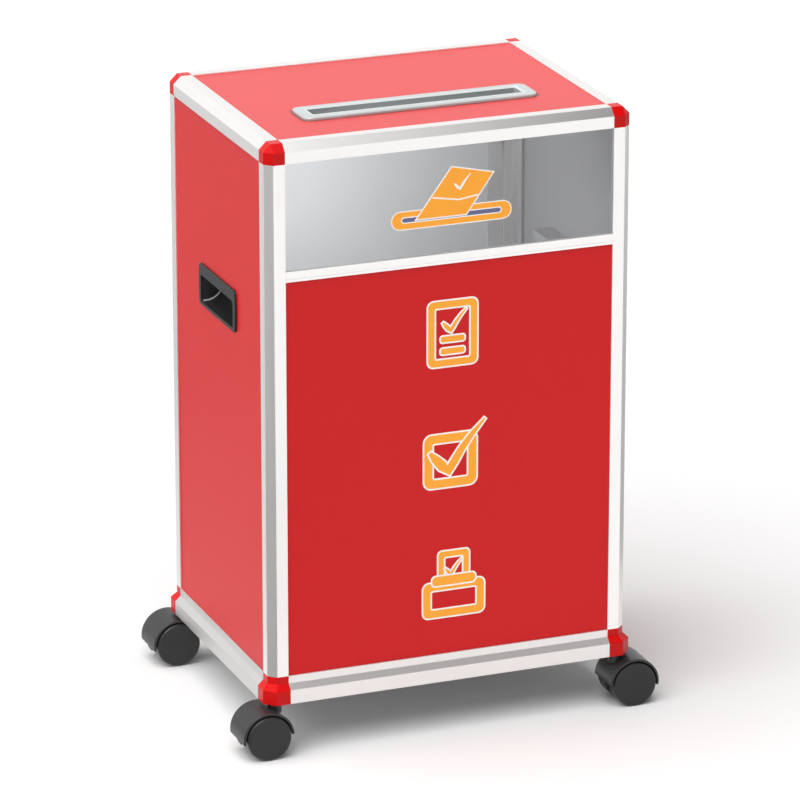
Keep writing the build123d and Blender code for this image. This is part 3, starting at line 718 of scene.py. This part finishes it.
class BALLOTBOX_OT_stage(bpy.types.Operator):
    """Set up the floor, the cards, the surroundings, the lamps and the camera"""

    bl_idname = "ballotbox.stage"
    bl_label = "Studio"

    def execute(self, context):
        studio = context.scene.ballot_studio
        self.make_floor(studio)
        self.make_cards()
        self.make_surroundings(context.scene, studio)
        self.make_lamps(studio)
        self.make_camera(context.scene, studio)
        return {"FINISHED"}

    def make_floor(self, studio):
        bpy.ops.object.select_all(action="DESELECT")
        bpy.ops.mesh.primitive_plane_add(size=FLOOR_SIZE, location=FLOOR_MIDDLE)
        floor = bpy.context.view_layer.objects.active
        floor.name = "studio_floor"
        finish = new_finish("studio_floor")
        floor.data.materials.append(finish.output(finish.surface(
            Base_Color=(studio.floor_tone,) * 3, Roughness=0.9, Specular_IOR_Level=0.0
        )))

    def make_cards(self):
        """Three cards on the floor, and two hung in front of the box and over it."""
        self.make_card(
            "card_left", place=(-2.88, -1.18, 0.002), size=(5.6, 1.5), levels=(0.16, 0.16)
        )
        self.make_card(
            "card_right", place=(1.5, 0.62, 0.002), size=(2.2, 1.2), levels=(0.35, 0.35)
        )
        self.make_card(
            "card_behind", place=(-0.795, 1.48, 0.001), size=(1.5, 3.5), levels=(1.05, 0.53),
            axis="Y", span=0.35,
        )
        self.make_card(
            "flag_low", place=(0.09, -0.285, 0.3), size=(0.68, 0.24), levels=(0.26, 0.26),
            hung=True,
        )
        self.make_card(
            "flag_high", place=(0.06, -0.225, 0.8), size=(0.6, 0.15), levels=(1.1, 0.0),
            span=0.8, hung=True,
        )

    def make_card(self, name, place, size, levels, axis="X", span=1.0, hung=False):
        """A card that only mirror rays see, graded along a share of one axis.

        One on the floor lies square to the camera. A hung one lies square to the box, and
        shows from below only.
        """
        turn = 0 if hung else CARD_TURN
        bpy.ops.mesh.primitive_plane_add(size=1, location=place, rotation=(0, 0, turn))
        card = bpy.context.view_layer.objects.active
        card.name = name
        card.scale = (*size, 1)
        finish = new_finish(name)
        start, end = ((level,) * 3 for level in levels)
        from_edge = finish.place(axis) + 0.5
        glow = finish.surface(
            Base_Color=(0, 0, 0), Specular_IOR_Level=0.0, Emission_Strength=1.0,
            Emission_Color=finish.blend(from_edge * (1 / span), start, end),
        )
        if hung:
            glow = finish.node("ShaderNodeMixShader", values={
                0: finish.node("ShaderNodeNewGeometry", output="Backfacing"),
                1: finish.node("ShaderNodeBsdfTransparent"), 2: glow,
            })
        card.data.materials.append(finish.output(glow))
        card.visible_camera = card.visible_diffuse = card.visible_shadow = False
        card.visible_transmission = card.visible_volume_scatter = False

    def make_surroundings(self, scene, studio):
        """White to the camera, even to the surfaces, and graded where it is mirrored."""
        scene.world = bpy.data.worlds.new("studio")
        finish = Finish(scene.world)
        up = finish.place("Z", kind="Generated")
        ceiling = finish.ramp(up, span=(0.55, 0.9), levels=(1.14, 0.5))
        toward_patch = finish.vector_math(
            "DOT_PRODUCT", finish.place(kind="Generated"), Vector(PATCH_TOWARD).normalized(),
            "Value",
        )
        patch = finish.ramp(toward_patch, span=(0.94, 0.98), levels=(0.0, 12.0))
        seen = finish.ray("Camera").either(finish.ray("Transmission"))
        mirrored = finish.ray("Glossy") * (1 - seen)
        level = (
            SEEN_LEVEL * seen + mirrored * (ceiling + patch)
            + studio.ambient * (1 - seen) * (1 - mirrored)
        )
        sky = finish.node("ShaderNodeBackground", values={"Strength": level})
        finish.output(sky, "ShaderNodeOutputWorld")

    def make_lamps(self, studio):
        back = Vector(OVERHEAD_BACK).normalized()
        overhead = self.make_lamp("overhead_lamp", "SUN", back * OVERHEAD_DISTANCE, back)
        overhead.data.energy = studio.key
        overhead.data.angle = OVERHEAD_SPREAD
        overhead.visible_glossy = False
        back = Vector(INSIDE_BACK).normalized()
        inside = self.make_lamp("inside_lamp", "AREA", INSIDE_PLACE, back)
        inside.data.shape = "DISK"
        inside.data.size = INSIDE_SIZE
        inside.data.energy = studio.inside
        inside.visible_camera = inside.visible_glossy = inside.visible_transmission = False

    def make_lamp(self, name, kind, place, back):
        """A lamp that shines away from where back points."""
        bpy.ops.object.light_add(type=kind, location=place)
        lamp = bpy.context.view_layer.objects.active
        lamp.name = name
        lamp.rotation_euler = back.to_track_quat("Z", "Y").to_euler()
        return lamp

    def make_camera(self, scene, studio):
        data = bpy.data.cameras.new("photo_camera")
        data.lens = studio.camera_lens
        data.sensor_width = 36
        data.clip_start, data.clip_end = 0.05, 60
        camera = bpy.data.objects.new("photo_camera", data)
        scene.collection.objects.link(camera)
        camera.location = studio.camera_place
        camera.rotation_euler = studio.camera_turn
        scene.camera = camera
        scene.view_settings.view_transform = "Standard"


class BALLOTBOX_OT_rails(bpy.types.Operator):
    """Finish the edge rails, the window rail and the door's edge trim"""

    bl_idname = "ballotbox.rails"
    bl_label = "Edge rails"

    def execute(self, context):
        colours = context.scene.ballot_colours
        dress(["top_rail_front", "top_rail_back", "mid_rail", "door_rail_high", "door_rail_low"],
              rail_metal(colours, "rail_metal_across", "X"))
        dress([f"top_rail_{side}" for side in SIDES], rail_metal(colours, "rail_metal_deep", "Y"))
        # Painted shade: the base rails are darker than the rails above, and the side ones darker
        # still
        dress(["base_rail_front", "base_rail_back"],
              rail_metal(colours, "shaded_base_metal_across", "X", BASE_RAIL_PAINTED_SHADE))
        dress([f"base_rail_{side}" for side in SIDES],
              rail_metal(colours, "shaded_base_metal_deep", "Y", BASE_SIDE_RAIL_PAINTED_SHADE))
        dress([f"post_{corner}" for corner in CORNERS] + ["door_stile_hinge", "door_stile_lock"],
              rail_metal(colours, "rail_metal_upright", "Z"))
        return {"FINISHED"}


class BALLOTBOX_OT_corners(bpy.types.Operator):
    """Finish the eight moulded corner blocks"""

    bl_idname = "ballotbox.corners"
    bl_label = "Corner blocks"

    def execute(self, context):
        dress([f"corner_{row}_{corner}" for row in ("top", "base") for corner in CORNERS],
              moulded_gloss(context.scene.ballot_colours))
        return {"FINISHED"}


class BALLOTBOX_OT_sheets(bpy.types.Operator):
    """Finish the sheet panels, red outside and grey inside"""

    bl_idname = "ballotbox.sheets"
    bl_label = "Sheet panels"

    def execute(self, context):
        colours = context.scene.ballot_colours
        dress(["front_panel"], panel_board(colours, "front_panel", "Y", SHEET_GLOSS))
        dress([f"side_panel_{side}" for side in SIDES],
              panel_board(colours, "side_panel_left", "X", SHEET_GLOSS, both_sides=True))
        dress(["lid_panel"],
              panel_board(colours, "lid_panel", "Z", LID_GLOSS, fitting="slot_bezel"))
        dress(["door_panel"], panel_board(colours, "door_panel", "Y", SHEET_GLOSS))
        dress(["floor_panel"], inner_board(colours))
        return {"FINISHED"}


class BALLOTBOX_OT_window(bpy.types.Operator):
    """Finish the clear window"""

    bl_idname = "ballotbox.window"
    bl_label = "Window"

    def execute(self, context):
        dress(["window"], clear_pane())
        return {"FINISHED"}


class BALLOTBOX_OT_slot(bpy.types.Operator):
    """Finish the posting slot's bezel"""

    bl_idname = "ballotbox.slot"
    bl_label = "Posting slot"

    def execute(self, context):
        dress(["slot_bezel"], bezel_plate(context.scene.ballot_colours.bezel))
        return {"FINISHED"}


class BALLOTBOX_OT_pulls(bpy.types.Operator):
    """Finish the flush side pulls"""

    bl_idname = "ballotbox.pulls"
    bl_label = "Side pulls"

    def execute(self, context):
        for side in SIDES:
            dress([f"pull_{side}"], pull_plastic(context.scene.ballot_colours, side))
        return {"FINISHED"}


class BALLOTBOX_OT_casters(bpy.types.Operator):
    """Finish the casters: hoods, wheels, axles and stems"""

    bl_idname = "ballotbox.casters"
    bl_label = "Casters"

    def execute(self, context):
        black = shade(context.scene.ballot_colours.black, CASTER_BLACK)
        dress([f"caster_hood_{corner}" for corner in CORNERS],
              textured_plastic("caster_plastic", black, roughness=0.28, depth=0.00003,
                               specular=0.45))
        dress([f"wheel_{side}_{corner}" for side in ("outer", "inner") for corner in CORNERS],
              textured_plastic("wheel_plastic", black, roughness=0.32, depth=0.00002,
                               specular=0.36))
        dress([f"caster_axle_{corner}" for corner in CORNERS] + ["caster_stems"],
              plated_metal("zinc_steel", ZINC, roughness=0.3, line_scale=700))
        return {"FINISHED"}


class BALLOTBOX_OT_door_fittings(bpy.types.Operator):
    """Finish the door's hinges and lock"""

    bl_idname = "ballotbox.door_fittings"
    bl_label = "Hinges and lock"

    def execute(self, context):
        dress(["hinge_leaves_frame", "hinge_leaves_door", "hinge_pins", "lock_cam",
               "lock_screw", "lock_nut"],
              plated_metal("hinge_steel", HINGE_STEEL, roughness=0.28, line_scale=500))
        dress(["lock_barrel", "lock_plug"],
              plated_metal("lock_plating", LOCK_PLATING, roughness=0.1, line_scale=300))
        return {"FINISHED"}


class BALLOTBOX_OT_marks(bpy.types.Operator):
    """Cut and stick the three marks on the front panel"""

    bl_idname = "ballotbox.marks"
    bl_label = "Front marks"

    def execute(self, context):
        colours, marks = context.scene.ballot_colours, context.scene.ballot_marks
        orange = printed_film("film_orange", colours.film_orange)
        white = printed_film("film_white", colours.film_white)
        sheet_with_lines = [
            ring(-29, -35, 25, 35, radius=6, stroke=7),
            [rounded_box(-15, -22, 11, -16, radius=2)],
            [rounded_box(-15, -9, 11, -3, radius=2)],
            tick(-4, 4, size=21),
        ]
        ticked_box = [ring(-33, -34, 25, 24, radius=8, stroke=9), tick(-6, -14, size=50)]
        posted_sheet = [
            ring(-17, -6, 17, 36, radius=4, stroke=6),
            tick(-3, 11, size=15),
            ring(-34, -36, 34, 2, radius=6, stroke=8),
            [rounded_box(-24, -1, 24, 9, radius=4)],
        ]
        designs = (
            ("mark_high", sheet_with_lines),
            ("mark_middle", ticked_box),
            ("mark_low", posted_sheet),
        )
        across = middle_of("front_panel").x + marks.from_middle
        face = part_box("front_panel")[0].y
        for (name, shapes), level in zip(designs, marks.levels):
            layers = mark_layers(orange, white, marks.border, shapes)
            piece = sticker(name, layers, (across, face, level), marks.film_thickness)
            seat(piece, "root")
        return {"FINISHED"}


class BALLOTBOX_OT_window_mark(bpy.types.Operator):
    """Cut and stick the posted-sheet mark on the window"""

    bl_idname = "ballotbox.window_mark"
    bl_label = "Window mark"

    def execute(self, context):
        colours, marks = context.scene.ballot_colours, context.scene.ballot_marks
        orange = bpy.data.materials["film_orange"]
        white = bpy.data.materials["film_white"]
        slate = printed_film("film_slate", colours.film_slate)
        slot = rounded_box(-65, -29, 65, -11, radius=9)
        mouth = rounded_box(-54, -22, 54, -17.5, radius=2.2)
        sheet = [(-38, -20), (16, -20), (45, 21), (0, 31)]
        fold = stroke_path([(-21, 1), (8, -4), (29, -1)], widths=[1.6] * 3)
        border = marks.window_border
        sheet_border = border + 0.0002
        layers = [
            ([slot], border, white),
            ([slot], 0.0, orange),
            ([mouth], border, white),
            ([mouth], 0.0, slate),
            ([sheet], sheet_border, white),
            ([sheet], 0.0, orange),
            ([fold], 0.0, white),
            (tick(9, 8, size=15), 0.0, white),
        ]
        middle = Vector((
            middle_of("window").x + marks.window_from_middle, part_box("window")[0].y,
            marks.window_level,
        ))
        seat(sticker("window_mark", layers, middle, marks.film_thickness), "root")
        return {"FINISHED"}


STEPS = (
    BALLOTBOX_OT_stage,
    BALLOTBOX_OT_rails,
    BALLOTBOX_OT_corners,
    BALLOTBOX_OT_sheets,
    BALLOTBOX_OT_window,
    BALLOTBOX_OT_slot,
    BALLOTBOX_OT_pulls,
    BALLOTBOX_OT_casters,
    BALLOTBOX_OT_door_fittings,
    BALLOTBOX_OT_marks,
    BALLOTBOX_OT_window_mark,
)


GROUPS = {
    "ballot_colours": BoxColours,
    "ballot_marks": BoxMarks,
    "ballot_studio": BoxStudio,
}


class BALLOTBOX_PT_sidebar(bpy.types.Panel):
    """Steps and settings of the ballot box's looks"""

    bl_label = "Ballot box"
    bl_idname = "BALLOTBOX_PT_sidebar"
    bl_space_type = "VIEW_3D"
    bl_region_type = "UI"
    bl_category = "Ballot box"

    def draw(self, context):
        for step in STEPS:
            self.layout.operator(step.bl_idname)
        for group in GROUPS:
            settings = getattr(context.scene, group)
            column = self.layout.column()
            for name in settings.__annotations__:
                column.prop(settings, name)


def register():
    for cls in (*GROUPS.values(), *STEPS, BALLOTBOX_PT_sidebar):
        bpy.utils.register_class(cls)
    for name, group in GROUPS.items():
        setattr(bpy.types.Scene, name, bpy.props.PointerProperty(type=group))


def unregister():
    for name in GROUPS:
        delattr(bpy.types.Scene, name)
    for cls in reversed((*GROUPS.values(), *STEPS, BALLOTBOX_PT_sidebar)):
        bpy.utils.unregister_class(cls)


def main():
    register()
    for step in STEPS:
        category, name = step.bl_idname.split(".")
        getattr(getattr(bpy.ops, category), name)()


if __name__ == "__main__":
    main()
